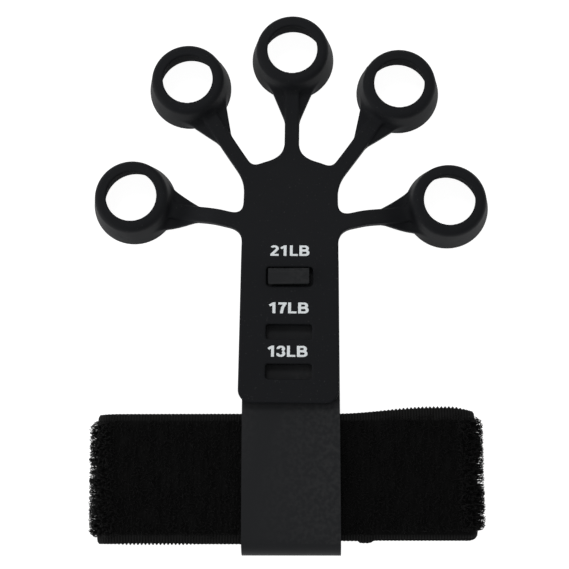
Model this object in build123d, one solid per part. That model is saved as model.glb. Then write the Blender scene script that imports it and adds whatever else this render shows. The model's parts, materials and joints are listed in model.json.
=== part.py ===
from build123d import *
import math
import os

# Finger exerciser: a moulded silicone hand with five finger rings hangs on a bent steel bracket, and a
# hook-and-loop wrist strap runs through the bracket.
# Millimetres. +Y runs from the wrist strap to the fingers, +Z away from the surface that it lies on.
# The origin is at the middle of the footprint, to within half a millimetre, on that surface.

# --- silicone moulding -------------------------------------------------------------------------------
SKIN = 3.2  # thickness of the strip, the hub and the arms
STRIP_BOTTOM_Y = -41.7
STRIP_HALF_BOTTOM = 15.3  # half width at the strip's free end
STRIP_HALF_TOP = 14.7  # half width where the hub ends
STRIP_CORNER = 4.0
ARM_CENTRE_Y = 10.8  # all five arms point at this place on the centre line
HUB_R = 26.5  # the hub's rounded top, about the arm centre
HUB_TOP_Y = ARM_CENTRE_Y + HUB_R

# The whole hand lies turned a little clockwise on its hook, about a place on the centre line.
LEAN = 0.65
LEAN_CENTRE_Y = 23.3

# The strip lies level on the bracket, then sinks towards the surface past the hook.
STRIP_Z = 13.5  # underside of the level part
SINK_START_Y = 1.0
SINK_END_Y = 12.0  # from here on the slope is even
SINK_SLOPE = 0.30

SLOT_WIDTH = 14.1
SLOT_CORNER = 0.8
SLOTS = {"hooked": (-3.05, 5.9), "middle": (-20.1, 4.6), "low": (-32.2, 4.6)}  # centre Y, height

# --- fingers: angle from +Y towards +X in degrees, reach to the ring's centre, radius of the arm's root.
# The arms are soft and lie a little bent, so the two sides differ by up to 1.3 degrees and 1 mm.
FINGERS = {
    "lower_left": (-75.75, 52.15, 22.0),
    "upper_left": (-33.0, 61.7, 31.5),
    "top": (0.0, 61.9, 33.0),
    "upper_right": (34.25, 61.05, 31.5),
    "lower_right": (76.4, 51.3, 22.0),
}
ROOT_FILLETS = {"lower_left": 3.2, "upper_left": 2.2, "top": 4.2, "upper_right": 2.2, "lower_right": 3.2}
ARM_WIDTHS = {"lower_left": 5.1, "upper_left": 4.85, "top": 4.7, "upper_right": 4.85, "lower_right": 5.1}
ARM_GAP = 0.2  # between the hub's stub and the arm's rounded root
WEB_Z = 2.6  # underside of the arm where it meets the ring's wall
GUSSET = 2.2  # the arm has a thinner gusset on each side before it meets the ring
FLARE_LENGTH = 8.8  # from the start of the gussets to the ring's base
FLARE_HALF_WIDTH = 6.9
FLARE_ROUND = 1.2

RING_HEIGHT = 11.0
RING_BASE_R = 13.5
RING_TOP_R = 11.4
HOLE_BASE_R = 10.05
HOLE_TOP_R = 7.9
RIM_OUTER_FILLET = 1.3
RIM_INNER_FILLET = 0.5

# --- bracket: one bent plate -------------------------------------------------------------------------
PLATE = 1.2
BRACKET_WIDTH = 29.7
BEND_OUTER_R = 5.0
BEND_CENTRE_Y = -81.7
BACK_LEG_Z = 3.4  # underside of the leg that lies against the wrist
BEND_CENTRE_Z = BACK_LEG_Z + BEND_OUTER_R
BACK_LEG_END_Y = -41.5
FRONT_Z = BEND_CENTRE_Z + BEND_OUTER_R  # outer face of the front plate
LEG_CORNER = 3.0

# --- the hook at the top of the front plate
PLATE_END_Y = 2.5
HOOK_WIDTH = 12.5
HOOK_CENTRE_X = -0.55
HOOK_BACK_Y = -0.35  # the neck's outer face
HOOK_TIP_Y = -5.55
HOOK_INNER_R = 0.6
HOOK_TOP_Z = STRIP_Z + SKIN + 0.2 + PLATE
TIP_CORNER = 0.6

# --- wrist strap -------------------------------------------------------------------------------------
STRAP_WIDTH = 38.0
STRAP_CENTRE_Y = -63.5
STRAP_THICK = 1.6
STRAP_LEFT_X = -59.6  # outside of the left fold
STRAP_RIGHT_X = 56.5
STRAP_LOW_Z = 1.4  # underside of the back layer
STRAP_TOP_Z = 11.6  # outer face of the front layer
TAB_THICK = 1.3
TAB_ROOT_X = 24.0  # the hook tab peels about this line
TAB_FREE_X = -46.0
TAB_SEWN_X = 33.0  # end of the piece of hook tape that is sewn down
TAB_GAP = 0.15
TAB_SCARF = 2.2  # the sewn end is cut back underneath over this length, so that the tab folds right back
TAB_SCARF_RISE = 1.1

STITCH_ROWS_X = (27.5, 30.5)
STITCHES_PER_ROW = 9
STITCH_LENGTH = 2.6
STITCH_WIDTH = 0.5
STITCH_HEIGHT = 0.25
STITCH_PITCH = 3.8


def side_z(y):
    """Height of the moulding's underside above the surface, on the strip and the hub."""
    even_start = (SINK_START_Y + SINK_END_Y) / 2
    return STRIP_Z - SINK_SLOPE * (y - even_start)


def finger_direction(angle):
    return Vector(math.sin(math.radians(angle)), math.cos(math.radians(angle)), 0)


def stub_end(root):
    """Radius at which the hub's stub stops, short of the arm's rounded root."""
    return root - SKIN / 2 - ARM_GAP


def leaning():
    """Turns the silicone hand from its own centre line to how it lies on the hook."""
    return Pos(0, LEAN_CENTRE_Y) * Rot(0, 0, -LEAN) * Pos(0, -LEAN_CENTRE_Y)


# --- palm strip and hub ------------------------------------------------------------------------------
def strip_outline():
    far_y = HUB_TOP_Y + 3
    blank = make_face(
        Polyline(
            (-STRIP_HALF_BOTTOM, STRIP_BOTTOM_Y),
            (STRIP_HALF_BOTTOM, STRIP_BOTTOM_Y),
            (STRIP_HALF_TOP, far_y),
            (-STRIP_HALF_TOP, far_y),
            close=True,
        )
    )
    below_hub = Pos(0, ARM_CENTRE_Y - 100) * Rectangle(200, 200)
    outline = blank & (below_hub + Pos(0, ARM_CENTRE_Y) * Circle(HUB_R))
    for name, (angle, _, root) in FINGERS.items():
        length = stub_end(root)
        bar = Pos(0, length / 2) * Rectangle(ARM_WIDTHS[name], length)
        outline += Pos(0, ARM_CENTRE_Y) * Rot(0, 0, -angle) * bar
    return outline


def is_root_corner(vertex, angle, root, width):
    """Whether a corner of the outline is where a finger's stub leaves the hub."""
    offset = Vector(vertex.X, vertex.Y - ARM_CENTRE_Y, 0)
    out = offset.dot(finger_direction(angle))
    side = abs(offset.cross(finger_direction(angle)).Z)
    return 0 < out < stub_end(root) - 0.01 and abs(side - width / 2) < 0.01


def slot(centre_y, height):
    return Pos(0, centre_y) * RectangleRounded(SLOT_WIDTH, height, SLOT_CORNER)


def strip_side():
    """The strip seen from the side, as a face across Y and Z."""
    bend_y = (SINK_START_Y + SINK_END_Y) / 2
    far_y = HUB_TOP_Y + 6

    def line_of(lift):
        level = STRIP_Z + lift
        start = (0, STRIP_BOTTOM_Y - 1, level)
        bend_start = (0, SINK_START_Y, level)
        bend_end = (0, SINK_END_Y, side_z(SINK_END_Y) + lift)
        far = (0, far_y, side_z(far_y) + lift)
        bend = Bezier(bend_start, (0, bend_y, level), bend_end)
        return [Line(start, bend_start), bend, Line(bend_end, far)]

    under, over = line_of(0), line_of(SKIN)
    ends = [Line(under[0] @ 0, over[0] @ 0), Line(under[2] @ 1, over[2] @ 1)]
    return make_face(Wire(under + over + ends))


def palm_strip():
    outline = strip_outline()
    bottom = [v for v in outline.vertices() if v.Y < STRIP_BOTTOM_Y + 1]
    outline = fillet(bottom, STRIP_CORNER)
    for name, (angle, _, root) in FINGERS.items():
        corners = [v for v in outline.vertices() if is_root_corner(v, angle, root, ARM_WIDTHS[name])]
        outline = fillet(corners, ROOT_FILLETS[name])
    for centre_y, height in SLOTS.values():
        outline -= slot(centre_y, height)
    return leaning() * (extrude(outline, 30) & extrude(strip_side(), 40, dir=(1, 0, 0), both=True))


# --- arms and rings, built along +X of their own frame and turned into place -----------------------------
def finger_side(angle, reach, root, thick):
    """An arm and the foot of its ring seen from the side, from the rounded root to the ring's centre."""
    slope = SINK_SLOPE * math.cos(math.radians(angle))
    root_z = side_z(ARM_CENTRE_Y + root * math.cos(math.radians(angle)))
    flat = reach - RING_BASE_R
    third = (flat - root) / 3

    def line_of(lift):
        bend = Bezier(
            (root, 0, root_z + lift),
            (root + third, 0, root_z - slope * third + lift),
            (flat - third, 0, WEB_Z + lift),
            (flat, 0, WEB_Z + lift),
        )
        return [bend, Line((flat, 0, WEB_Z + lift), (reach, 0, WEB_Z + lift))]

    under, over = line_of(0), line_of(thick)
    nose = ThreePointArc(under[0] @ 0, (root - thick / 2, 0, root_z + thick / 2), over[0] @ 0)
    end = Line(under[1] @ 1, over[1] @ 1)
    return extrude(make_face(Wire(under + over + [nose, end])), 20, dir=(0, 1, 0), both=True)


def gusset_plan(reach, width):
    """The pair of gussets from above, softly at first out of the arm, then straight to the ring."""
    start = reach - RING_BASE_R - FLARE_LENGTH
    foot = reach - math.sqrt(RING_BASE_R**2 - FLARE_HALF_WIDTH**2)

    def side(sign):
        half = sign * width / 2
        corner = Vector(start + FLARE_ROUND, half)
        wide = Vector(foot, sign * FLARE_HALF_WIDTH)
        eased = corner + (wide - corner).normalized() * FLARE_ROUND
        return [Bezier((start, half), corner, eased), Line(eased, wide), Line(wide, (reach, wide.Y))]

    left, right = side(1), side(-1)
    ends = [Line(left[0] @ 0, right[0] @ 0), Line(left[2] @ 1, right[2] @ 1)]
    return make_face(Wire(left + right + ends))


def arm_web(angle, reach, root, width):
    """The arm as a straight bar up to the ring, with its gussets."""
    back = root - SKIN
    bar = Pos((back + reach) / 2, 0) * Rectangle(reach - back, width)
    full = extrude(bar, 30) & finger_side(angle, reach, root, SKIN)
    thin = extrude(gusset_plan(reach, width), 30) & finger_side(angle, reach, root, GUSSET)
    return full + thin


def ring_cone():
    """The conical finger ring, with its rounded rim, about its own centre."""
    wall = make_face(
        Polyline(
            (HOLE_BASE_R, 0, 0),
            (RING_BASE_R, 0, 0),
            (RING_TOP_R, 0, RING_HEIGHT),
            (HOLE_TOP_R, 0, RING_HEIGHT),
            close=True,
        )
    )
    outer_rim = [v for v in wall.vertices() if v.Z > RING_HEIGHT / 2 and v.X > (RING_TOP_R + HOLE_TOP_R) / 2]
    wall = fillet(outer_rim, RIM_OUTER_FILLET)
    inner_rim = [v for v in wall.vertices() if v.Z > RING_HEIGHT - 0.01 and v.X < HOLE_TOP_R + 0.01]
    wall = fillet(inner_rim, RIM_INNER_FILLET)
    return revolve(wall, Axis.Z)


def finger(angle, reach, root, width):
    """An arm and its ring, parted by an upright plane where the gussets start."""
    web = arm_web(angle, reach, root, width)
    split = reach - RING_BASE_R - FLARE_LENGTH
    inner = Pos(split - 50, 0, 0) * Box(100, 100, 100)
    outer = Pos(split + 50, 0, 0) * Box(100, 100, 100)
    hole = Pos(reach, 0, 0) * Cylinder(HOLE_BASE_R + 1, 100)
    arm = web & inner
    ring = ((web & outer) - hole) + Pos(reach, 0, 0) * ring_cone()
    place = leaning() * Pos(0, ARM_CENTRE_Y, 0) * Rot(0, 0, 90 - angle)
    return place * arm, place * ring


# --- bracket -----------------------------------------------------------------------------------------
def yz(y, z):
    return (0, y, z)


def bracket_side():
    """The bent plate from the side: back leg, rounded bend, front plate."""
    inner_r = BEND_OUTER_R - PLATE
    low, high = BACK_LEG_Z, FRONT_Z
    outer = [
        Line(yz(BACK_LEG_END_Y, low), yz(BEND_CENTRE_Y, low)),
        ThreePointArc(
            yz(BEND_CENTRE_Y, low), yz(BEND_CENTRE_Y - BEND_OUTER_R, BEND_CENTRE_Z), yz(BEND_CENTRE_Y, high)
        ),
        Line(yz(BEND_CENTRE_Y, high), yz(PLATE_END_Y, high)),
    ]
    inner = [
        Line(yz(BACK_LEG_END_Y, low + PLATE), yz(BEND_CENTRE_Y, low + PLATE)),
        ThreePointArc(
            yz(BEND_CENTRE_Y, low + PLATE),
            yz(BEND_CENTRE_Y - inner_r, BEND_CENTRE_Z),
            yz(BEND_CENTRE_Y, high - PLATE),
        ),
        Line(yz(BEND_CENTRE_Y, high - PLATE), yz(PLATE_END_Y, high - PLATE)),
    ]
    ends = [
        Line(yz(BACK_LEG_END_Y, low), yz(BACK_LEG_END_Y, low + PLATE)),
        Line(yz(PLATE_END_Y, high), yz(PLATE_END_Y, high - PLATE)),
    ]
    return make_face(Wire(outer + inner + ends))


def hook_side():
    """The hook from the side: up out of the plate, then back over the strip, its tip towards the wrist."""
    bend_y = HOOK_BACK_Y - PLATE - HOOK_INNER_R
    low_z = FRONT_Z + HOOK_INNER_R
    high_z = HOOK_TOP_Z - PLATE - HOOK_INNER_R
    half_turn = math.sqrt(0.5)

    def quarter(radius, centre_z, up):
        mid = yz(bend_y + radius * half_turn, centre_z + up * radius * half_turn)
        start, end = yz(bend_y, centre_z + up * radius), yz(bend_y + radius, centre_z)
        return ThreePointArc(start, mid, end)

    def course(radius):
        face_y = bend_y + radius
        top_z = high_z + radius
        return [
            quarter(radius, low_z, -1),
            Line(yz(face_y, low_z), yz(face_y, high_z)),
            quarter(radius, high_z, 1),
            Line(yz(bend_y, top_z), yz(HOOK_TIP_Y, top_z)),
        ]

    outer_r = HOOK_INNER_R + PLATE
    ends = [
        Line(yz(bend_y, low_z - outer_r), yz(bend_y, low_z - HOOK_INNER_R)),
        Line(yz(HOOK_TIP_Y, high_z + outer_r), yz(HOOK_TIP_Y, high_z + HOOK_INNER_R)),
    ]
    return make_face(Wire(course(outer_r) + course(HOOK_INNER_R) + ends))


def hook_bracket():
    plate = extrude(bracket_side(), BRACKET_WIDTH / 2, dir=(1, 0, 0), both=True)
    hook = Pos(HOOK_CENTRE_X, 0, 0) * extrude(hook_side(), HOOK_WIDTH / 2, dir=(1, 0, 0), both=True)
    leg_corners = [e for e in plate.edges().filter_by(Axis.Z) if abs(e.center().Y - BACK_LEG_END_Y) < 0.01]
    plate = fillet(leg_corners, LEG_CORNER)
    tip_corners = [e for e in hook.edges().filter_by(Axis.Z) if abs(e.center().Y - HOOK_TIP_Y) < 0.01]
    return plate + fillet(tip_corners, TIP_CORNER)


# --- wrist strap -------------------------------------------------------------------------------------
def flat_loop(thickness_in):
    """The strap's loop from the side, shrunk by a distance on every side."""
    length = STRAP_RIGHT_X - STRAP_LEFT_X - 2 * thickness_in
    height = STRAP_TOP_Z - STRAP_LOW_Z - 2 * thickness_in
    centre = ((STRAP_LEFT_X + STRAP_RIGHT_X) / 2, STRAP_CENTRE_Y, (STRAP_LOW_Z + STRAP_TOP_Z) / 2)
    return Plane(centre, x_dir=(1, 0, 0), z_dir=(0, -1, 0)) * SlotOverall(length, height)


def strap_webbing():
    return extrude(flat_loop(0) - flat_loop(STRAP_THICK), STRAP_WIDTH / 2, both=True)


def hook_tab():
    """The free end of hook tape, with a rounded root that it peels about."""
    mid_z = TAB_THICK / 2
    side = Wire(
        [
            Line((TAB_ROOT_X, 0, 0), (TAB_FREE_X, 0, 0)),
            Line((TAB_FREE_X, 0, 0), (TAB_FREE_X, 0, TAB_THICK)),
            Line((TAB_FREE_X, 0, TAB_THICK), (TAB_ROOT_X, 0, TAB_THICK)),
            ThreePointArc((TAB_ROOT_X, 0, TAB_THICK), (TAB_ROOT_X + mid_z, 0, mid_z), (TAB_ROOT_X, 0, 0)),
        ]
    )
    return Pos(0, STRAP_CENTRE_Y, 0) * extrude(make_face(side), STRAP_WIDTH / 2, dir=(0, 1, 0), both=True)


def hook_tab_root():
    """The end of the hook tape that is sewn flat under the strap."""
    start = TAB_ROOT_X + TAB_THICK / 2 + TAB_GAP
    low_z = STRAP_LOW_Z - TAB_THICK
    side = Polyline(
        (start, 0, low_z + TAB_SCARF_RISE),
        (start + TAB_SCARF, 0, low_z),
        (TAB_SEWN_X, 0, low_z),
        (TAB_SEWN_X, 0, STRAP_LOW_Z),
        (start, 0, STRAP_LOW_Z),
        close=True,
    )
    return Pos(0, STRAP_CENTRE_Y, 0) * extrude(make_face(side), STRAP_WIDTH / 2, dir=(0, 1, 0), both=True)


def seam_stitches():
    """Two rows of thread that hold the tape's end, on the strap's inner face."""
    seat_z = STRAP_LOW_Z + STRAP_THICK + STITCH_HEIGHT / 2
    first_y = STRAP_CENTRE_Y - STITCH_PITCH * (STITCHES_PER_ROW - 1) / 2
    stitches = []
    for row_x in STITCH_ROWS_X:
        for i in range(STITCHES_PER_ROW):
            place = Pos(row_x, first_y + i * STITCH_PITCH, seat_z)
            stitches.append(place * Box(STITCH_WIDTH, STITCH_LENGTH, STITCH_HEIGHT))
    return Compound(children=stitches)


def write(name, shape):
    export_step(shape, os.path.join("parts", name + ".step"))


os.makedirs("parts", exist_ok=True)
write("hook_bracket", hook_bracket())
write("palm_strip", palm_strip())
for name, (angle, reach, root) in FINGERS.items():
    arm, ring = finger(angle, reach, root, ARM_WIDTHS[name])
    write("finger_arm_" + name, arm)
    write("finger_ring_" + name, ring)
write("strap_webbing", strap_webbing())
write("hook_tab", hook_tab())
write("hook_tab_root", hook_tab_root())
write("seam_stitches", seam_stitches())
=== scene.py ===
import json
import math

import bmesh
import bpy
import numpy as np
import openvdb
from mathutils import Matrix, Vector, geometry, noise


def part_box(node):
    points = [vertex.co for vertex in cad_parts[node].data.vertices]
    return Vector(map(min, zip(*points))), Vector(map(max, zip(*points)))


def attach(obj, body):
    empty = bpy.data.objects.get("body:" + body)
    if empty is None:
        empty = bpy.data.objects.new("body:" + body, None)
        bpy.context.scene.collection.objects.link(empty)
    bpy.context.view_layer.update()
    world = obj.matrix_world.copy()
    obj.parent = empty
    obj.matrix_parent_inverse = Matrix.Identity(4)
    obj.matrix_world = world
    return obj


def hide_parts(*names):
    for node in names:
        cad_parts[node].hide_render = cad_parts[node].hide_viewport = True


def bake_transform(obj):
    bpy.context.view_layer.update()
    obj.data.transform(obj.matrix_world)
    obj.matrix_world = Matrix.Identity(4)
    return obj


# Everything below is in millimetres until it becomes a mesh.
MM = 0.001

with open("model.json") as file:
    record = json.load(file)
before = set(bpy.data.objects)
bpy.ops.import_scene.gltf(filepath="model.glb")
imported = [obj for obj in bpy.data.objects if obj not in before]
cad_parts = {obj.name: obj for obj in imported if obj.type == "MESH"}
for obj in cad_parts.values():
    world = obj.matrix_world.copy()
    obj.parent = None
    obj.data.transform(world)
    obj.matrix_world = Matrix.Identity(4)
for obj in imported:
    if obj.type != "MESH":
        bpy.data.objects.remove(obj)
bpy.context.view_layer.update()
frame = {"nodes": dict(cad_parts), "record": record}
joints = {joint["name"]: joint for joint in frame["record"]["behaviour"]["joints"]}
mounts = {mount["name"]: mount for mount in frame["record"]["mounts"]}


def box_of(node):
    """A CAD node's box, as its low and its high corner."""
    return [Vector(corner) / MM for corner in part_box(node)]


def place_of(thing):
    """Where a joint or a mount of the record is."""
    return Vector(thing["pos_m"]) / MM


# --- the silicone hand, in its own frame: the five arms point at its origin, and +Y is its centre line ----
FINGER_NAMES = ("lower_left", "upper_left", "top", "upper_right", "lower_right")


def read_hand():
    """The hand's origin, how far it is turned clockwise, and each finger's angle, reach and root."""
    along = {name: Vector(joints["stretch_" + name]["axis"]) for name in FINGER_NAMES}
    hinge = {name: place_of(joints["flex_" + name]) * Vector((1, 1, 0)) for name in FINGER_NAMES}
    ends = [hinge[name] + along[name] * far for name in ("top", "lower_left") for far in (0, 1)]
    origin = geometry.intersect_line_line(*ends)[0]
    lean = math.atan2(along["top"].x, along["top"].y)
    fingers = {}
    for name in FINGER_NAMES:
        angle = math.atan2(along[name].x, along[name].y) - lean
        reach = (place_of(mounts["finger_hole_" + name]) * Vector((1, 1, 0)) - origin).dot(along[name])
        fingers[name] = (angle, reach, (hinge[name] - origin).dot(along[name]))
    return origin, lean, fingers


HAND_ORIGIN, HAND_LEAN, FINGERS = read_hand()
HAND_TO_WORLD = Matrix.Translation(HAND_ORIGIN) @ Matrix.Rotation(-HAND_LEAN, 4, "Z")

SKIN = 3.2
STRIP_HALF_BOTTOM = 15.3
STRIP_HALF_TOP = 14.7
STRIP_CORNER = 4.0
STRIP_BOTTOM_Y = -52.5
HUB_R = 26.5
STRIP_Z = box_of("palm_strip")[1].z - SKIN  # underside of the level part
SINK_START_Y = -9.8
SINK_END_Y = 1.2
SINK_SLOPE = 0.30
SLOT_WIDTH = 14.1
SLOT_CORNER = 0.8
SLOTS = ((-13.85, 5.9), (-30.9, 4.6), (-43.0, 4.6))  # centre Y and height

ARM_HALVES = {"lower_left": 2.55, "upper_left": 2.43, "top": 2.35, "upper_right": 2.43, "lower_right": 2.55}
STUB_BACK = 1.8  # the hub's stub ends this far short of the arm's hinge
WEB_Z = 2.6  # underside of the arm where it meets the ring's wall
GUSSET = 2.2  # thickness of the gusset on each side of the arm before the ring
FLARE_LENGTH = 8.8
FLARE_HALF = 6.9
RING_HEIGHT = box_of("finger_ring_top")[1].z
RING_BASE_R = 13.5
RING_TOP_R = 11.4
HOLE_BASE_R = 10.05
HOLE_TOP_R = 7.9
ROOT_BLENDS = {"lower_left": 4.2, "upper_left": 2.6, "top": 6.0, "upper_right": 2.6, "lower_right": 4.2}
EDGE_ROUND = 0.45
SLOT_ROUND = 0.25
RIDGE_BLEND = 0.3  # where the arm's bar stands up out of its gussets
FOOT_BLEND = 1.6  # where the arm runs into the ring's wall
RIM_ROUND = 1.7
BORE_ROUND = 0.45
BASE_ROUND = 0.5
ARM_START = 4  # the bars of all five arms start this far out from the hand's origin
VOXEL = 0.3
MARGIN = 0.9  # room around a shape in its grid

# --- strap -------------------------------------------------------------------------------------------
STRAP_LOW, STRAP_HIGH = box_of("strap_webbing")
STRAP_HALF = (STRAP_HIGH.y - STRAP_LOW.y) / 2
STRAP_CENTRE_Y = (STRAP_HIGH.y + STRAP_LOW.y) / 2
STRAP_THICK = 1.6
PILE_HALF = 16.9
SELVAGE_DROP = 0.45
WEFT_PITCH = 0.85
TAB_FREE_X = box_of("hook_tab")[0].x
TAB_SEWN_X = box_of("hook_tab_root")[1].x
TAB_HINGE = place_of(joints["tab_peel"])
TAB_BASE_THICK = 0.6


def smoothstep(low, high, value):
    t = np.clip((value - low) / (high - low), 0, 1)
    return t * t * (3 - 2 * t)


def smooth_min(a, b, k):
    mix = np.clip(0.5 + 0.5 * (b - a) / k, 0, 1)
    return b + (a - b) * mix - k * mix * (1 - mix)


def smooth_max(a, b, k):
    return -smooth_min(-a, -b, k)


def rounded_box(x, y, half_x, half_y, corner):
    """Distance to a rectangle with rounded corners."""
    qx, qy = np.abs(x) - half_x + corner, np.abs(y) - half_y + corner
    return np.hypot(np.maximum(qx, 0), np.maximum(qy, 0)) + np.minimum(np.maximum(qx, qy), 0) - corner


# --- distance fields of the moulding as it leaves the mould, lying flat -----------------------------
def polar(angle, x, y):
    """Distance out along a finger's line and to the side of it."""
    return x * math.sin(angle) + y * math.cos(angle), x * math.cos(angle) - y * math.sin(angle)


def bar_plan(out, side, half, near, far):
    return np.maximum(np.abs(side) - half, np.maximum(near - out, out - far))


def gusset_plan(out, side, half, reach):
    """Two straight-sided gussets that start softly out of the arm and meet the ring's base."""
    start = reach - RING_BASE_R - FLARE_LENGTH
    chord = reach - math.sqrt(RING_BASE_R**2 - FLARE_HALF**2)
    slope = (FLARE_HALF - half) / (chord - start)
    wide = half + slope * smooth_max(out - start - 0.3, 0, 1.2)
    return bar_plan(out, side, wide, start, reach)


def strip_plan(x, y):
    far_y = HUB_R + 3
    taper = (STRIP_HALF_TOP - STRIP_HALF_BOTTOM) * (y - STRIP_BOTTOM_Y) / (far_y - STRIP_BOTTOM_Y)
    mid_y, half_y = (far_y + STRIP_BOTTOM_Y) / 2, (far_y - STRIP_BOTTOM_Y) / 2
    bar = rounded_box(x, y - mid_y, STRIP_HALF_BOTTOM + taper, half_y, STRIP_CORNER)
    cap = np.where(y > 0, np.hypot(x, y) - HUB_R, -HUB_R)
    return np.maximum(bar, cap)


def slab(plan, z, thick, edge):
    """A flat slab of a given thickness over a plan outline, with rounded edges."""
    wide, high = plan + edge, np.abs(z - thick / 2) - thick / 2 + edge
    return np.hypot(np.maximum(wide, 0), np.maximum(high, 0)) + np.minimum(np.maximum(wide, high), 0) - edge


def hub_field(x, y, z):
    plan = strip_plan(x, y)
    for name, (angle, _, root) in FINGERS.items():
        out, side = polar(angle, x, y)
        bar = bar_plan(out, side, ARM_HALVES[name], ARM_START, root + 1)
        plan = smooth_min(plan, bar, ROOT_BLENDS[name])
    solid = slab(plan, z, SKIN, EDGE_ROUND)
    for centre_y, height in SLOTS:
        hole = rounded_box(x, y - centre_y, SLOT_WIDTH / 2, height / 2, SLOT_CORNER)
        solid = smooth_max(solid, -hole, SLOT_ROUND)
    return solid


def slanted(rho, z, base_r, top_r):
    """Distance outside a cone."""
    lean = base_r - top_r
    return ((rho - base_r) * RING_HEIGHT + z * lean) / math.hypot(RING_HEIGHT, lean)


def finger_field(x, y, z, angle, reach, half):
    """The arm and its ring, with the ring lowered by the height at which the arm meets it."""
    out, side = polar(angle, x, y)
    bar = slab(bar_plan(out, side, half, ARM_START, reach), z, SKIN, EDGE_ROUND)
    gussets = slab(gusset_plan(out, side, half, reach), z, GUSSET, EDGE_ROUND)
    web = smooth_min(bar, gussets, RIDGE_BLEND)
    rho, up = np.hypot(out - reach, side), z + WEB_Z
    cone = smooth_max(slanted(rho, up, RING_BASE_R, RING_TOP_R), up - RING_HEIGHT, RIM_ROUND)
    solid = smooth_min(cone, web, FOOT_BLEND)
    solid = smooth_max(solid, -slanted(rho, up, HOLE_BASE_R, HOLE_TOP_R), BORE_ROUND)
    return smooth_max(solid, -up, BASE_ROUND)


# --- how far the moulding hangs above the surface ------------------------------------------------------
def side_z(y):
    """Height of the underside on the strip and the hub: level, one soft bend, then an even slope."""
    bend = SINK_END_Y - SINK_START_Y
    inside = np.clip(y - SINK_START_Y, 0, bend)
    return STRIP_Z - SINK_SLOPE * (inside * inside / (2 * bend) + np.maximum(y - SINK_END_Y, 0))


def finger_z(x, y, angle, reach, root):
    """Height of the underside along an arm, down to where it meets the ring that lies on the surface."""
    out, side = polar(angle, x, y)
    slope = SINK_SLOPE * math.cos(angle)
    flat = reach - RING_BASE_R
    t = np.clip((out - root) / (flat - root), 0, 1)
    start = float(side_z(root * math.cos(angle)))
    bend = start - slope * (flat - root) / 3
    falling = start * (1 - t) ** 3 + 3 * bend * t * (1 - t) ** 2 + WEB_Z * t * t * (3 - 2 * t)
    twist = SINK_SLOPE * math.sin(angle) * side * (1 - smoothstep(0, 1, t))
    return np.where(out < root, side_z(y), falling + twist)


# --- meshes ------------------------------------------------------------------------------------------
def new_object(name, mesh):
    thing = bpy.data.objects.new(name, mesh)
    bpy.context.scene.collection.objects.link(thing)
    return thing


def smooth_mesh(name, points, faces):
    """A smooth-shaded mesh from an array of points in millimetres and a list of faces."""
    mesh = bpy.data.meshes.new(name)
    mesh.from_pydata((points.reshape(-1, 3) * MM).tolist(), [], faces)
    mesh.polygons.foreach_set("use_smooth", [True] * len(mesh.polygons))
    return mesh


def polygonize(field, low, high, step):
    """A mesh of the surface where a distance field is 0. Pieces with the same step share one grid."""
    first = [math.floor(v / step) for v in low]
    last = [math.ceil(v / step) for v in high]
    axes = [np.arange(a, b + 1) * step for a, b in zip(first, last)]
    x, y, z = np.meshgrid(*axes, indexing="ij")
    far = 3 * step
    grid = openvdb.FloatGrid(far)
    grid.copyFromArray(np.clip(field(x, y, z), -far, far).astype(np.float32), ijk=tuple(first))
    grid.transform = openvdb.createLinearTransform(voxelSize=step)
    points, triangles, quads = grid.convertToPolygons(isovalue=0, adaptivity=0)
    mesh = bpy.data.meshes.new("field")
    mesh.from_pydata(points.tolist(), [], triangles.tolist() + quads.tolist())
    shape = bmesh.new()
    shape.from_mesh(mesh)
    bpy.data.meshes.remove(mesh)
    bmesh.ops.remove_doubles(shape, verts=shape.verts, dist=0.001)
    bmesh.ops.recalc_face_normals(shape, faces=shape.faces)
    return shape


def slice_off(shape, point, direction, near=None):
    """Cuts away what lies past a plane and closes the cut with a crisp flat face."""
    chosen = [f for f in shape.faces if near is None or near(f.calc_center_median())]
    edges = {e for f in chosen for e in f.edges}
    verts = {v for f in chosen for v in f.verts}
    bmesh.ops.bisect_plane(
        shape,
        geom=chosen + list(edges) + list(verts),
        plane_co=point,
        plane_no=direction,
        dist=0.0001,
        clear_outer=True,
    )
    rim = [e for e in shape.edges if e.is_boundary]
    caps = bmesh.ops.edgenet_fill(shape, edges=rim)["faces"]
    for cap in caps:
        for edge in cap.edges:
            edge.smooth = False
    bmesh.ops.recalc_face_normals(shape, faces=shape.faces)


def finish_shape(shape, name, height):
    """Hangs a flat moulded shape at its height, turns it into place and makes the object, in metres."""
    points = np.array([v.co[:] for v in shape.verts])
    lift = height(points[:, 0], points[:, 1])
    for vert, up in zip(shape.verts, lift):
        vert.co = (HAND_TO_WORLD @ (vert.co + Vector((0, 0, up)))) * MM
    for face in shape.faces:
        face.smooth = True
    mesh = bpy.data.meshes.new(name)
    shape.to_mesh(mesh)
    shape.free()
    return new_object(name, mesh)


def out_along(angle, out):
    """A point on a finger's line in the hand's own frame."""
    return Vector((math.sin(angle), math.cos(angle), 0)) * out


def in_metres(point):
    """A point of the hand's own frame as a place in the scene."""
    return (HAND_TO_WORLD @ point) * MM


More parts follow.
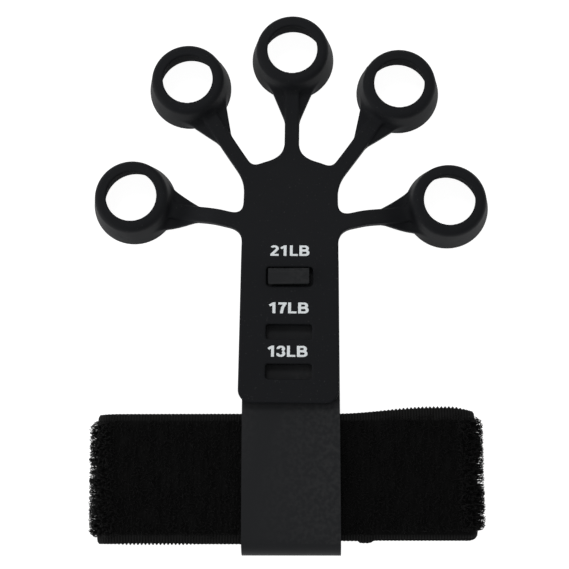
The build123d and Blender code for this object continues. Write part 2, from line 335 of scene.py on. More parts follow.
# --- materials ---------------------------------------------------------------------------------------
class Nodes:
    """A material's node tree, with short ways to add the nodes that these materials share."""

    def __init__(self, name):
        self.material = bpy.data.materials.new(name)
        self.material.use_nodes = True
        self.tree = self.material.node_tree
        self.shader = self.tree.nodes["Principled BSDF"]
        self.place = self.add("ShaderNodeTexCoord").outputs["Object"]

    def add(self, kind, inputs=None, **settings):
        node = self.tree.nodes.new(kind)
        for key, value in settings.items():
            setattr(node, key, value)
        for key, value in (inputs or {}).items():
            self.feed(node.inputs[key], value)
        return node

    def feed(self, socket, value):
        if isinstance(value, bpy.types.NodeSocket):
            self.tree.links.new(value, socket)
        else:
            socket.default_value = value

    def set(self, **values):
        for key, value in values.items():
            self.feed(self.shader.inputs[key.replace("_", " ")], value)

    def noise(self, scale, detail=3.0, roughness=0.5, at=None):
        inputs = {"Vector": at or self.place, "Scale": scale, "Detail": detail, "Roughness": roughness}
        return self.add("ShaderNodeTexNoise", inputs).outputs["Fac"]

    def remap(self, value, low, high, to_low, to_high):
        inputs = {"Value": value, "From Min": low, "From Max": high, "To Min": to_low, "To Max": to_high}
        return self.add("ShaderNodeMapRange", inputs).outputs["Result"]

    def math(self, operation, a, b=0.0):
        return self.add("ShaderNodeMath", {0: a, 1: b}, operation=operation).outputs[0]

    def mix_colour(self, share, a, b):
        node = self.add("ShaderNodeMix", data_type="RGBA")
        self.feed(node.inputs["Factor"], share)
        self.feed(node.inputs["A"], a)
        self.feed(node.inputs["B"], b)
        return node.outputs["Result"]

    def bump(self, height, distance, strength=1.0, below=None):
        inputs = {"Height": height, "Distance": distance, "Strength": strength}
        if below is not None:
            inputs["Normal"] = below
        return self.add("ShaderNodeBump", inputs).outputs["Normal"]


def grey(value, blue=1.0):
    return (value, value, value * blue, 1.0)


def silicone_material():
    """Matt black silicone: a fine blasted grain from the mould, faint blotches and a few specks of dust."""
    n = Nodes("silicone_black")
    blotch = n.noise(90, 4)
    grain = n.noise(3800, 2, 0.6)
    ripple = n.noise(420, 3)
    speck = n.remap(n.noise(2300, 0), 0.79, 0.83, 0, 1)
    base = n.mix_colour(blotch, (0.0072, 0.0078, 0.0093, 1), (0.0098, 0.0105, 0.0122, 1))
    n.set(Base_Color=n.mix_colour(n.math("MULTIPLY", speck, 0.5), base, grey(0.045)))
    n.set(Roughness=n.remap(blotch, 0.3, 0.7, 0.62, 0.72), Specular_IOR_Level=0.115)
    fine = n.bump(grain, 0.00003, 0.5)
    n.set(Normal=n.bump(ripple, 0.00006, 0.35, fine))
    return n.material


def shaded_bore_material():
    """A copy of the same silicone for the inside of the rings that reflects almost nothing: painted shade, so
    the inner walls read dark as if shaded.
    """
    n = Nodes("silicone_bore_painted_shade")
    mottle = n.noise(1400, 4, 0.6)
    n.set(Base_Color=n.mix_colour(mottle, (0.0105, 0.0112, 0.0125, 1), (0.0165, 0.0172, 0.0185, 1)))
    n.set(Roughness=n.remap(mottle, 0.3, 0.7, 0.85, 0.95), Specular_IOR_Level=0.01)
    n.set(Normal=n.bump(n.noise(3800, 2, 0.6), 0.00003, 0.5))
    return n.material


def steel_material():
    """Black powder coat: a soft orange peel, satin, a little worn and paler along the edges."""
    n = Nodes("black_powder_coat")
    peel = n.noise(5200, 2, 0.45)
    cloud = n.noise(60, 4)
    form = n.add("ShaderNodeNewGeometry")
    worn = n.remap(form.outputs["Pointiness"], 0.54, 0.62, 0, 1)
    broken = n.math("MULTIPLY", worn, n.remap(n.noise(800, 4), 0.4, 0.65, 0, 0.2))
    base = n.mix_colour(cloud, (0.0112, 0.0120, 0.0136, 1), (0.0124, 0.0132, 0.0148, 1))
    n.set(Base_Color=n.mix_colour(broken, base, grey(0.06)))
    n.set(Roughness=n.remap(cloud, 0.3, 0.7, 0.58, 0.62), Specular_IOR_Level=0.18)
    n.set(Normal=n.bump(peel, 0.00001, 0.5))
    return n.material


def webbing_material():
    """Black nylon loop tape: ribbed pile between two plain woven selvages."""
    n = Nodes("loop_webbing_black")
    parts = n.add("ShaderNodeSeparateXYZ", {"Vector": n.place})
    across = n.math("ABSOLUTE", n.math("SUBTRACT", parts.outputs["Y"], STRAP_CENTRE_Y * MM))
    selvage = n.remap(across, (PILE_HALF - 0.1) * MM, (PILE_HALF + 0.4) * MM, 0, 1)
    stretch = n.add("ShaderNodeVectorMath", {0: n.place, 1: (900, 120, 900)}, operation="MULTIPLY")
    ribs = n.noise(1.0, 3, 0.55, at=stretch.outputs["Vector"])
    fuzz = n.noise(2600, 4, 0.7)
    pile = n.mix_colour(n.remap(ribs, 0.35, 0.7, 0, 1), grey(0.0010), grey(0.0034))
    picks = n.math("SINE", n.math("MULTIPLY", parts.outputs["X"], 2 * math.pi / (WEFT_PITCH * MM)))
    woven = n.mix_colour(n.remap(picks, -0.8, 0.8, 0, 1), grey(0.0035), grey(0.0125))
    n.set(Base_Color=n.mix_colour(selvage, pile, woven))
    n.set(Roughness=n.remap(fuzz, 0.3, 0.7, 0.75, 0.95), Specular_IOR_Level=0.08)
    n.set(Sheen_Weight=0.015, Sheen_Roughness=0.5)
    coarse = n.bump(ribs, 0.00018, 0.8)
    n.set(Normal=n.bump(fuzz, 0.00010, 0.9, coarse))
    return n.material


def fibre_material(name, dark, light):
    """The nylon filament of the pile, a little glossy where the light catches it."""
    n = Nodes(name)
    n.set(Base_Color=n.mix_colour(n.noise(700, 2), grey(dark), grey(light)))
    n.set(Roughness=n.remap(n.noise(900, 2), 0.3, 0.7, 0.45, 0.65), Specular_IOR_Level=0.16)
    return n.material


def hook_tape_material():
    """Woven nylon ground of the hook tape."""
    n = Nodes("hook_tape_black")
    spread = n.add("ShaderNodeVectorMath", {0: n.place, 1: (1, 1, 0)}, operation="MULTIPLY")
    threads = {"Vector": spread.outputs["Vector"], "Scale": 650, "Mortar Size": 0.03}
    weave = n.add("ShaderNodeTexBrick", threads)
    fuzz = n.noise(3000, 3, 0.6)
    n.set(Base_Color=n.mix_colour(fuzz, grey(0.004), grey(0.011)))
    n.set(Roughness=n.remap(fuzz, 0.3, 0.7, 0.55, 0.8), Specular_IOR_Level=0.35)
    coarse = n.bump(weave.outputs["Fac"], 0.00008, 0.6)
    n.set(Normal=n.bump(fuzz, 0.00005, 0.6, coarse))
    return n.material


def ink_material():
    """Pad-printed white ink, thin enough to show the silicone's grain and a few pinholes."""
    n = Nodes("printed_white")
    pinhole = n.remap(n.noise(2600, 3, 0.6), 0.60, 0.74, 0, 0.7)
    n.set(Base_Color=n.mix_colour(pinhole, (0.84, 0.88, 0.90, 1), (0.40, 0.42, 0.43, 1)))
    n.set(Roughness=n.remap(n.noise(1500, 2), 0.3, 0.7, 0.5, 0.65), Specular_IOR_Level=0.3)
    n.set(Normal=n.bump(n.noise(3800, 2), 0.00003, 0.4))
    return n.material


def thread_material():
    """Black polyester sewing thread."""
    n = Nodes("thread_black")
    twist = n.noise(4200, 2, 0.5)
    n.set(Base_Color=n.mix_colour(twist, grey(0.006), grey(0.018)))
    n.set(Roughness=n.remap(twist, 0.3, 0.7, 0.5, 0.7), Specular_IOR_Level=0.4)
    n.set(Normal=n.bump(twist, 0.00005, 0.7))
    return n.material


SILICONE = silicone_material()
# The inside of the rings gets its own unreflective copy of the silicone: painted shade.
BORE_SHADE = shaded_bore_material()
STEEL = steel_material()
WEBBING = webbing_material()
FIBRE = fibre_material("pile_fibre_black", 0.0012, 0.0060)
LIT_FOLD_FIBRE = fibre_material("pile_fibre_fold_lit", 0.0022, 0.0090)  # painted light: paler fibre for the loops where the strap folds away from the lamps
HOOK_TAPE = hook_tape_material()
INK = ink_material()
THREAD = thread_material()


def dress(thing, material):
    thing.data.materials.clear()
    thing.data.materials.append(material)
    return thing


# --- silicone hand -----------------------------------------------------------------------------------
def make_palm():
    side = HUB_R + 0.5
    low = (-side, STRIP_BOTTOM_Y - 1, -MARGIN)
    high = (side, HUB_R + 8, SKIN + MARGIN)
    shape = polygonize(hub_field, low, high, VOXEL)
    for angle, _, root in FINGERS.values():
        end = root - STUB_BACK

        def on_stub(centre, angle=angle, end=end):
            out, side = polar(angle, centre.x, centre.y)
            return out > end - 1 and abs(side) < SKIN

        slice_off(shape, out_along(angle, end), out_along(angle, 1), on_stub)
    palm = finish_shape(shape, "palm_web", lambda x, y: side_z(y))
    dress(palm, SILICONE)
    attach(palm, "finger_web")
    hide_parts("palm_strip")


def shade_the_bore(ring, angle, reach):
    """Gives the faces inside a ring the unreflective copy of the silicone, which paints shade on the inner
    walls.
    """
    centre = in_metres(out_along(angle, reach))
    ring.data.materials.append(BORE_SHADE)
    for face in ring.data.polygons:
        away = Vector((face.center.x - centre.x, face.center.y - centre.y, 0))
        if away.length < (HOLE_BASE_R + 0.2) * MM and face.normal.dot(away.normalized()) < -0.8:
            face.material_index = 1


def make_finger(name, angle, reach, root):
    """One arm and its ring, as two pieces: a root piece and an outer piece."""
    start, split, foot = root - STUB_BACK, reach - RING_BASE_R - FLARE_LENGTH, reach - RING_BASE_R
    corners = [out_along(angle, start), out_along(angle, reach)]
    low = [min(c[i] for c in corners) - RING_BASE_R - 1 for i in (0, 1)] + [-WEB_Z - MARGIN]
    high = [max(c[i] for c in corners) + RING_BASE_R + 1 for i in (0, 1)] + [RING_HEIGHT - WEB_Z + MARGIN]
    half = ARM_HALVES[name]
    whole = polygonize(lambda x, y, z: finger_field(x, y, z, angle, reach, half), low, high, VOXEL)
    slice_off(whole, out_along(angle, start), -out_along(angle, 1))
    outer = whole.copy()
    slice_off(whole, out_along(angle, split), out_along(angle, 1))
    slice_off(outer, out_along(angle, split), -out_along(angle, 1))

    def height(x, y):
        return finger_z(x, y, angle, reach, root)

    arm = dress(finish_shape(whole, "arm_skin_" + name, height), SILICONE)
    ring = dress(finish_shape(outer, "ring_skin_" + name, height), SILICONE)
    shade_the_bore(ring, angle, reach)
    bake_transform(arm)
    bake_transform(ring)
    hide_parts("finger_arm_" + name)
    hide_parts("finger_ring_" + name)


# --- printed scale marks, drawn with straight and round strokes of a bold face -----------------------------
# A straight stroke is its two ends; a round one is its centre, radius, and the half plane it keeps.
MARKS = (("21LB", 0.0, -5.75), ("17LB", -0.1, -23.6), ("13LB", -0.35, -36.9))  # text, centre X and Y
MARK_HEIGHT = 3.4
MARK_WIDTH = 12.1
INK_PROUD = 0.04
INK_DEPTH = 0.2
INK_ROUND = 0.05
INK_VOXEL = 0.05
STROKE = 0.1  # half the width of a stroke, as a share of the letters' height


def straight(x, y, x1, y1, x2, y2):
    length = math.hypot(x2 - x1, y2 - y1)
    way_x, way_y = (x2 - x1) / length, (y2 - y1) / length
    mid_x, mid_y = (x1 + x2) / 2, (y1 + y2) / 2
    along = np.abs((x - mid_x) * way_x + (y - mid_y) * way_y) - length / 2
    across = np.abs((x - mid_x) * way_y - (y - mid_y) * way_x) - STROKE
    return np.maximum(along, across)


def bowl(x, y, centre_x, centre_y, radius, keep_degrees):
    """Half a ring: the half on the side that a direction points to."""
    keep = math.radians(keep_degrees)
    ring = np.abs(np.hypot(x - centre_x, y - centre_y) - radius) - STROKE
    return np.maximum(ring, -(x - centre_x) * math.cos(keep) - (y - centre_y) * math.sin(keep))


def within(field, x, y, high_x, high_y=1.0):
    """Trims a glyph to its box."""
    return np.maximum(field, np.maximum(np.maximum(-x, x - high_x), np.maximum(-y, y - high_y)))


def glyph_one(x, y):
    flag = straight(x, y, 0.42, 1.0, 0.04, 0.70)
    return within(np.minimum(straight(x, y, 0.33, 0, 0.33, 1), flag), x, y, 0.43)


def glyph_two(x, y):
    top = bowl(x, y, 0.30, 0.70, 0.20, 62)
    slant = straight(x, y, 0.475, 0.60, 0.08, 0.09)
    return within(np.minimum(np.minimum(top, slant), straight(x, y, 0.02, 0.09, 0.60, 0.09)), x, y, 0.6)


def glyph_three(x, y):
    upper = bowl(x, y, 0.29, 0.73, 0.18, 28)
    lower = bowl(x, y, 0.28, 0.295, 0.205, -28)
    tips = np.minimum(bowl(x, y, 0.29, 0.73, 0.18, 100), bowl(x, y, 0.28, 0.295, 0.205, -100))
    return within(np.minimum(np.minimum(upper, lower), tips), x, y, 0.59)


def glyph_seven(x, y):
    leg = np.minimum(straight(x, y, 0.49, 0.93, 0.30, 0.5), straight(x, y, 0.31, 0.54, 0.22, -0.1))
    return within(np.minimum(straight(x, y, 0.02, 0.9, 0.58, 0.9), leg), x, y, 0.58)


def glyph_l(x, y):
    return within(np.minimum(straight(x, y, 0.1, 0, 0.1, 1), straight(x, y, 0, 0.09, 0.56, 0.09)), x, y, 0.56)


def glyph_b(x, y):
    field = straight(x, y, 0.1, 0, 0.1, 1)
    for centre_x, centre_y, radius in ((0.37, 0.715, 0.19), (0.40, 0.30, 0.205)):
        field = np.minimum(field, bowl(x, y, centre_x, centre_y, radius, 0))
        for side in (-radius, radius):
            field = np.minimum(field, straight(x, y, 0.1, centre_y + side, centre_x, centre_y + side))
    return within(field, x, y, 0.70)


# shape, width and the space after it
GLYPHS = {
    "1": (glyph_one, 0.43, 0.16),
    "2": (glyph_two, 0.60, 0.11),
    "3": (glyph_three, 0.59, 0.10),
    "7": (glyph_seven, 0.58, 0.09),
    "L": (glyph_l, 0.56, 0.10),
    "B": (glyph_b, 0.70, 0.0),
}


def text_field(text, x, y):
    """Distance to a line of text one unit high, that starts at x = 0."""
    field, start = np.full(x.shape, 9.0), 0.0
    for here, following in zip(text, text[1:] + " "):
        shape, width, gap = GLYPHS[here]
        field = np.minimum(field, shape(x - start, y))
        start += width + gap + (0.07 if here == "1" and following == "L" else 0)
    return field, start


def make_marks():
    for text, centre_x, centre_y in MARKS:
        _, length = text_field(text, np.zeros(1), np.zeros(1))
        stretch = MARK_WIDTH / length

        def field(x, y, z, text=text, length=length, stretch=stretch, centre_x=centre_x, centre_y=centre_y):
            text_x = (x - centre_x) / stretch + length / 2
            text_y = (y - centre_y) / MARK_HEIGHT + 0.5
            flat = text_field(text, text_x, text_y)[0]
            film = np.abs(z - (INK_PROUD - INK_DEPTH) / 2) - (INK_PROUD + INK_DEPTH) / 2
            return smooth_max(flat * MARK_HEIGHT, film, INK_ROUND)

        side, end = MARK_WIDTH / 2 + 0.3, MARK_HEIGHT / 2 + 0.3
        low = (centre_x - side, centre_y - end, -INK_DEPTH - 0.15)
        high = (centre_x + side, centre_y + end, INK_PROUD + 0.15)
        shape = polygonize(field, low, high, INK_VOXEL)
        mark = finish_shape(shape, "scale_mark_" + text, lambda x, y: side_z(y) + SKIN)
        dress(mark, INK)
        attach(mark, "finger_web")


# --- bracket -----------------------------------------------------------------------------------------
def make_bracket():
    """The bent plate with its sharp edges taken off."""
    source = frame["nodes"]["hook_bracket"]
    shape = bmesh.new()
    shape.from_mesh(source.data)
    bmesh.ops.remove_doubles(shape, verts=shape.verts, dist=0.002 * MM)
    bmesh.ops.dissolve_limit(shape, angle_limit=math.radians(1), verts=shape.verts, edges=shape.edges)
    sharp = [e for e in shape.edges if e.is_manifold and e.calc_face_angle(0) > math.radians(35)]
    bmesh.ops.bevel(
        shape, geom=sharp, offset=0.18 * MM, segments=3, profile=0.5, affect="EDGES", clamp_overlap=True
    )
    for face in shape.faces:
        face.smooth = True
    mesh = bpy.data.meshes.new("bracket_plate")
    shape.to_mesh(mesh)
    shape.free()
    bracket = new_object("bracket_plate", mesh)
    weighted = bracket.modifiers.new("even_faces", "WEIGHTED_NORMAL")
    weighted.keep_sharp = True
    dress(bracket, STEEL)
    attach(bracket, "bracket")
    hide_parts("hook_bracket")


# --- strap -------------------------------------------------------------------------------------------
FOLD_R = (STRAP_HIGH.z - STRAP_LOW.z) / 2
FOLD_Z = (STRAP_HIGH.z + STRAP_LOW.z) / 2
MID_R = FOLD_R - STRAP_THICK / 2
FOLD_LEFT_X = STRAP_LOW.x + FOLD_R
FOLD_RIGHT_X = STRAP_HIGH.x - FOLD_R
RUN = FOLD_RIGHT_X - FOLD_LEFT_X
TURN = math.pi * MID_R
LOOP_LENGTH = 2 * (RUN + TURN)
PICKS = round(LOOP_LENGTH / WEFT_PITCH)  # cross threads round the whole loop
TOOTH_PITCH = 1.15
TEETH = round(LOOP_LENGTH / TOOTH_PITCH)  # small teeth along each edge, round the whole loop
TOOTH_HEIGHT = 0.28


def loop_point(along):
    """The middle of the strap's thickness at a length along the loop, with the outward direction, in X and Z.
    The loop starts over the left fold and runs along the front layer first."""
    s = np.mod(along, LOOP_LENGTH)
    right = np.clip((s - RUN) / TURN, 0, 1) * math.pi
    left = np.clip((s - 2 * RUN - TURN) / TURN, 0, 1) * math.pi
    turned = right + left
    out_x, out_z = np.sin(turned), np.cos(turned)
    forward = np.clip(s, 0, RUN)
    back = np.clip(s - RUN - TURN, 0, RUN)
    x = FOLD_LEFT_X + forward - back + MID_R * out_x
    z = FOLD_Z + MID_R * out_z
    return x, z, out_x, out_z


def edge_shifts(x):
    """How far the front layer's edges lie off their lines: the right half sits high and bows."""
    bow = 1.9 * smoothstep(14, 43, x) - 1.2 * smoothstep(48, 57, x)
    upper = 0.05 + bow - 0.2 * smoothstep(-52, -59, x)
    lump = 0.6 * smoothstep(19.6, 20.8, x) * smoothstep(25.0, 23.0, x)
    rise = 0.95 * smoothstep(-14, 14, x) + 0.6 * smoothstep(24, 27, x) + 0.45 * smoothstep(45, 57, x)
    lower = -0.8 + rise - lump
    return lower, upper


def strap_surface(along, across, lift):
    """A point on the strap: along the loop, across it, and out from the middle of its thickness."""
    x, z, out_x, out_z = loop_point(along)
    front = smoothstep(FOLD_Z - 4, FOLD_Z + 1, z)
    lower, upper = edge_shifts(x)
    share = np.clip(across / STRAP_HALF, -1.2, 1.2) / 2 + 0.5
    lean = -0.018 * across * smoothstep(-20, -58, x)  # the left fold isn't quite square to the strap
    y = STRAP_CENTRE_Y + across + front * (lower + (upper - lower) * share)
    return np.stack([x + out_x * lift + lean, y, z + out_z * lift], axis=-1)


def wave(count, along, turn=0.0):
    """A ripple that fits a whole number of times into the strap's loop."""
    return np.sin(along * 2 * math.pi * count / LOOP_LENGTH + turn)


def strap_noise(along, across, scale, seed):
    points = np.stack([along.ravel(), across.ravel(), 0 * along.ravel()], axis=1)
    values = [noise.noise(Vector(point) * scale + Vector((seed, 0, 0))) for point in points]
    return np.array(values).reshape(along.shape)


def toothed(along, across):
    """A place across the strap, moved by small teeth, which show most on two worn stretches of its edges."""
    x = loop_point(along)[0]
    worn_above = smoothstep(24, 36, x) * smoothstep(55, 49, x) * (across > 0)
    worn_below = smoothstep(-54, -49, x) * smoothstep(-26, -34, x) * (across < 0)
    near_edge = smoothstep(STRAP_HALF - 1.4, STRAP_HALF, np.abs(across))
    height = TOOTH_HEIGHT * (0.2 + 0.8 * (worn_above + worn_below))
    return across + np.sign(across) * height * near_edge * wave(TEETH, along)


def edge_rounding(across, depth):
    return depth * smoothstep(STRAP_HALF - 0.9, STRAP_HALF, np.abs(across))


def outer_face(along, across):
    """Brushed pile between two flat woven selvages."""
    lumps = strap_noise(along, across, 1.4, 3)
    ribs = strap_noise(along * 1.6, across * 0.16, 1, 9)
    pile = 0.16 * lumps + 0.14 * ribs - 0.12
    selvage = 0.07 * wave(PICKS, along, across * 3.2) - SELVAGE_DROP
    plain = smoothstep(PILE_HALF - 0.3, PILE_HALF + 0.3, np.abs(across))
    lift = STRAP_THICK / 2 + (1 - plain) * pile + plain * selvage - edge_rounding(across, 0.5)
    return strap_surface(along, toothed(along, across), lift)


def inner_face(along, across):
    """Plain weave."""
    lift = 0.06 - STRAP_THICK / 2 + 0.05 * wave(PICKS, along, across * 2.2) + edge_rounding(across, 0.3)
    return strap_surface(along, toothed(along, across), lift)


def grid_mesh(name, rows):
    """A closed band: rows is an array of rings, each ring a closed section across the strap."""
    count, ring = rows.shape[:2]
    index = np.arange(count * ring).reshape(count, ring)
    after = np.roll(index, -1, axis=0)
    beside, after_beside = np.roll(index, -1, axis=1), np.roll(after, -1, axis=1)
    faces = np.stack([index, beside, after_beside, after], axis=-1).reshape(-1, 4)
    return smooth_mesh(name, rows, faces.tolist())


def make_strap():
    along = np.linspace(0, LOOP_LENGTH, 1350, endpoint=False)
    outer_across = np.linspace(-STRAP_HALF, STRAP_HALF, 58)
    inner_across = np.linspace(STRAP_HALF, -STRAP_HALF, 30)
    outer = outer_face(*np.meshgrid(along, outer_across, indexing="ij"))
    inner = inner_face(*np.meshgrid(along, inner_across, indexing="ij"))
    strap = new_object("strap_band", grid_mesh("strap_band", np.concatenate([outer, inner], axis=1)))
    dress(strap, WEBBING)
    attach(strap, "strap")
    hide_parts("strap_webbing")
    return strap


def tubes_mesh(name, paths, radius, sides=3):
    """One mesh of many thin tubes. paths holds the points of each tube's line, in millimetres."""
    tubes, points = paths.shape[:2]
    ahead = np.gradient(paths, axis=1)
    ahead /= np.linalg.norm(ahead, axis=2, keepdims=True)
    helper = np.where(np.abs(ahead[..., 2:3]) < 0.9, np.array([0.0, 0.0, 1.0]), np.array([1.0, 0.0, 0.0]))
    side = np.cross(ahead, helper)
    side /= np.linalg.norm(side, axis=2, keepdims=True)
    up = np.cross(side, ahead)
    turn = np.arange(sides) * 2 * math.pi / sides
    ring = side[:, :, None] * np.cos(turn)[:, None] + up[:, :, None] * np.sin(turn)[:, None]
    verts = paths[:, :, None] + ring * radius
    index = np.arange(tubes * points * sides).reshape(tubes, points, sides)
    near, far = index[:, :-1], index[:, 1:]
    walls = np.stack([near, np.roll(near, -1, 2), np.roll(far, -1, 2), far], axis=-1).reshape(-1, 4)
    ends = np.concatenate([index[:, 0, ::-1], index[:, -1]])
    return smooth_mesh(name, verts, walls.tolist() + ends.tolist())


def pile_loops(name, count, along_range, height_range, filament, sway, yarn, seed):
    """Loops of filament that stand out of a stretch of the strap's outer face, shorter underneath."""
    random = np.random.default_rng(seed)
    along = random.uniform(*along_range, count)
    across = random.uniform(-PILE_HALF, PILE_HALF, count)
    _, _, out_x, out_z = loop_point(along)
    tall = (0.3 + 0.7 * np.abs(out_x)) * (1 - 0.5 * smoothstep(15, 17, np.abs(across)))
    height = random.uniform(*height_range, count) * np.where(height_range[1] > 1, tall, 1)
    width = random.uniform(0.5, 1.3, count)
    heading = random.uniform(0, math.pi, count)
    lean = random.normal(0, sway, (count, 2))
    bow = np.linspace(0, math.pi, 7)
    spread = np.cos(bow) * (0.5 + 0.25 * np.sin(bow))
    rise = np.sin(bow)
    step_along = spread * (width * np.cos(heading))[:, None] + (rise**2) * (lean[:, :1] * height[:, None])
    step_across = spread * (width * np.sin(heading))[:, None] + (rise**2) * (lean[:, 1:] * height[:, None])
    lift = STRAP_THICK / 2 - 0.25 + rise * height[:, None]
    paths = strap_surface(along[:, None] + step_along, across[:, None] + step_across, lift)
    pile = new_object(name, tubes_mesh(name, paths, filament))
    dress(pile, yarn)
    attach(pile, "strap")
    return pile


def make_pile():
    """Short ruffled loops on the flat layers, and tall upright ones that show past the folds."""
    front = (0, RUN)
    right = (RUN - 1, RUN + TURN + 1)
    back = (RUN + TURN, 2 * RUN + TURN)
    left = (2 * RUN + TURN - 1, LOOP_LENGTH + 1)
    flat = {"filament": 0.075, "sway": 0.35, "yarn": FIBRE}
    # The loops at the folds take the paler fibre, painted light on the folds.
    folded = {"filament": 0.10, "sway": 0.12, "yarn": LIT_FOLD_FIBRE}
    return [
        pile_loops("pile_front", 5200, front, (0.35, 0.75), seed=11, **flat),
        pile_loops("pile_right_fold", 1400, right, (2.0, 2.5), seed=12, **folded),
        pile_loops("pile_back", 3000, back, (0.3, 0.5), seed=13, **flat),
        pile_loops("pile_left_fold", 1400, left, (2.1, 2.6), seed=14, **folded),
    ]


# --- hook tape ---------------------------------------------------------------------------------------
TAB_HALF = 18.9
TAB_SHIFT_Y = 0.35
HOOK_PITCH = 1.6
HOOK_WIRE_R = 0.09


def make_tab():
    """The hook tape: a woven ground with a thin edge, sewn down at one end and free at the other."""
    steps = np.linspace(TAB_FREE_X, TAB_SEWN_X, 200)
    lower = np.linspace(-TAB_HALF, TAB_HALF, 24)
    upper = lower[::-1]

    def sheet_rows(across, base, sign):
        x, y = np.meshgrid(steps, across, indexing="ij")
        edge = smoothstep(TAB_HALF - 0.8, TAB_HALF, np.abs(y))
        ribs = 0.04 * np.sin(x * 2 * math.pi / 1.1) * np.cos(y * 2 * math.pi / 1.4)
        return np.stack([x, y + STRAP_CENTRE_Y + TAB_SHIFT_Y, base + sign * (ribs - 0.18 * edge)], axis=-1)

    rows = np.concatenate([sheet_rows(lower, 0.08, -1), sheet_rows(upper, TAB_BASE_THICK, 1)], axis=1)
    count, ring = rows.shape[:2]
    index = np.arange(count * ring).reshape(count, ring)
    near, far = index[:-1], index[1:]
    faces = np.stack([near, far, np.roll(far, -1, 1), np.roll(near, -1, 1)], axis=-1).reshape(-1, 4)
    ends = [index[0].tolist(), index[-1, ::-1].tolist()]
    mesh = smooth_mesh("hook_tape_strip", rows, faces.tolist() + ends)
    tab = dress(new_object("hook_tape_strip", mesh), HOOK_TAPE)
    peel_with_tab(tab)
    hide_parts("hook_tab", "hook_tab_root")
    return tab


def peel_with_tab(thing):
    """Bakes a piece's placement into its mesh."""
    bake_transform(thing)


def make_hooks():
    """Rows of nylon hooks on the face that meets the strap, curling one way and then the other."""
    xs = np.arange(TAB_FREE_X + 2, TAB_HINGE.x - 2, HOOK_PITCH)
    ys = np.arange(-TAB_HALF + 2.2, TAB_HALF - 2.1, HOOK_PITCH)
    x, y = [v.ravel() for v in np.meshgrid(xs, ys, indexing="ij")]
    sign = np.where(np.round(x / HOOK_PITCH) % 2 == 0, 1, -1)
    # one hook's wire, from its foot to its tip: how far over it reaches and how far up
    bow = np.array([0.0, 0.5, 1.0, 1.5, 2.1, 2.7]) * math.pi / 2.7
    reach = 0.28 * (1 - np.cos(bow))
    rise = np.array([0.0, 0.3, 0.5, 0.6, 0.56, 0.4])
    paths = np.stack(
        [
            x[:, None] + sign[:, None] * reach,
            y[:, None] + STRAP_CENTRE_Y + TAB_SHIFT_Y + 0 * reach,
            TAB_BASE_THICK - 0.05 + rise + 0 * x[:, None],
        ],
        axis=-1,
    )
    hooks = new_object("hook_rows", tubes_mesh("hook_rows", paths, HOOK_WIRE_R, 4))
    dress(hooks, FIBRE)
    peel_with_tab(hooks)
    return hooks


STITCH_LOW, STITCH_HIGH = box_of("seam_stitches")
STITCH_WIDTH = 0.5
STITCHES_PER_ROW = 9
THREAD_R = 0.17


def make_stitches():
    """Lock stitches through the strap and the tape's end, seen on both faces."""
    bow = np.linspace(0, math.pi, 9)
    half = 1.3
    faces = ((STITCH_LOW.z - 0.1, 0.28), (0.2, -0.14))  # height of the thread's ends, and how far it bows out
    paths = []
    for row_x in (STITCH_LOW.x + STITCH_WIDTH / 2, STITCH_HIGH.x - STITCH_WIDTH / 2):
        for y in np.linspace(STITCH_LOW.y + half, STITCH_HIGH.y - half, STITCHES_PER_ROW):
            for base, rise in faces:
                run = y - 1.5 * np.cos(bow)
                paths.append(np.stack([row_x + 0 * bow, run, base + rise * np.sin(bow)], axis=-1))
    stitches = new_object("seam_thread", tubes_mesh("seam_thread", np.array(paths), THREAD_R, 6))
    dress(stitches, THREAD)
    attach(stitches, "strap")
    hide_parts("seam_stitches")
    return stitches


# --- stage, light and camera -------------------------------------------------------------------------
CAMERA_LENS = 74.0
CAMERA_TARGET = Vector((-2.25, -2.5, 0)) * MM
CAMERA_FOOT = Vector((6.95, -70.0, 0)) * MM
CAMERA_HEIGHT = 367.9 * MM
HORIZON_LIGHT = 0.55
ZENITH_LIGHT = 0.45
FLOOR_GLOW = 0.95


def make_stage():
    bpy.ops.mesh.primitive_plane_add(size=30, location=(0, 0, -0.0002))
    floor = bpy.context.object
    floor.name = "floor"
    n = Nodes("floor_white")
    tint = n.mix_colour(n.noise(8, 2), grey(0.29), grey(0.31))
    n.set(Base_Color=tint, Roughness=0.9, Specular_IOR_Level=0.1)
    n.set(Emission_Color=(1, 1, 1, 1), Emission_Strength=FLOOR_GLOW)
    floor.data.materials.append(n.material)


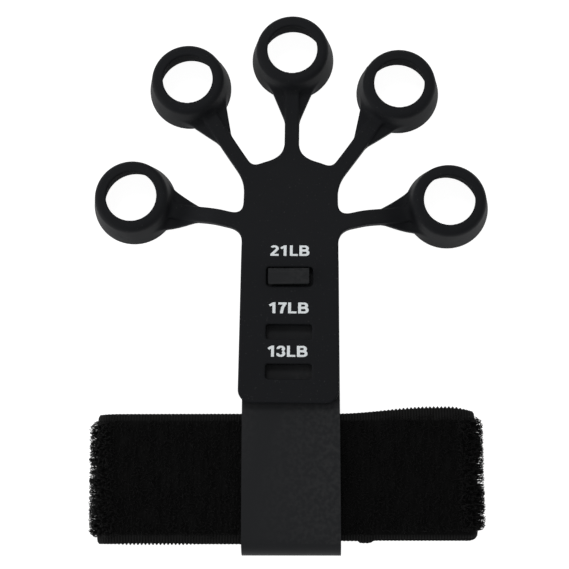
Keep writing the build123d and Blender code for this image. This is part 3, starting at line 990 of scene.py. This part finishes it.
def area_light(name, place, size, power):
    """A round lamp that points at the middle of the object."""
    data = bpy.data.lights.new(name, "AREA")
    data.shape = "DISK"
    data.size = size
    data.energy = power
    lamp = new_object(name, data)
    lamp.location = place
    lamp.rotation_euler = (-Vector(place)).to_track_quat("-Z", "Y").to_euler()


def make_world():
    """An even white studio, a little brighter low down than overhead."""
    world = bpy.data.worlds.new("studio")
    world.use_nodes = True
    tree = world.node_tree
    place = tree.nodes.new("ShaderNodeTexCoord")
    parts = tree.nodes.new("ShaderNodeSeparateXYZ")
    level = tree.nodes.new("ShaderNodeMapRange")
    level.interpolation_type = "SMOOTHSTEP"
    limits = {"From Min": 0.3, "From Max": 0.85, "To Min": HORIZON_LIGHT, "To Max": ZENITH_LIGHT}
    for name, value in limits.items():
        level.inputs[name].default_value = value
    tree.links.new(place.outputs["Generated"], parts.inputs["Vector"])
    tree.links.new(parts.outputs["Z"], level.inputs["Value"])
    tree.links.new(level.outputs["Result"], tree.nodes["Background"].inputs["Strength"])
    tree.nodes["Background"].inputs["Color"].default_value = (1, 1, 1, 1)
    bpy.context.scene.world = world


def make_lights():
    make_world()
    area_light("key_far", (-0.15, 0.45, 0.80), size=0.25, power=1.6)
    area_light("low_left", (-0.75, -0.10, 0.25), size=0.4, power=2.0)


def make_camera():
    camera = new_object("camera", bpy.data.cameras.new("camera"))
    camera.data.lens = CAMERA_LENS
    camera.data.sensor_width = 36
    camera.data.clip_start = 0.01
    place = CAMERA_FOOT + Vector((0, 0, CAMERA_HEIGHT))
    back = (place - CAMERA_TARGET).normalized()
    up = (Vector((0, 1, 0)) - back * back.y).normalized()
    turn = Matrix((up.cross(back), up, back)).transposed()
    camera.matrix_world = Matrix.Translation(place) @ turn.to_4x4()
    bpy.context.scene.camera = camera


bpy.context.scene.view_settings.view_transform = "Standard"
make_stage()
make_lights()
make_camera()
make_palm()
for finger_name, (finger_angle, finger_reach, finger_root) in FINGERS.items():
    make_finger(finger_name, finger_angle, finger_reach, finger_root)
make_marks()
make_bracket()
strap_band = make_strap()
pile_pieces = make_pile()
tab_strip = make_tab()
tab_hooks = make_hooks()
strap_seam = make_stitches()
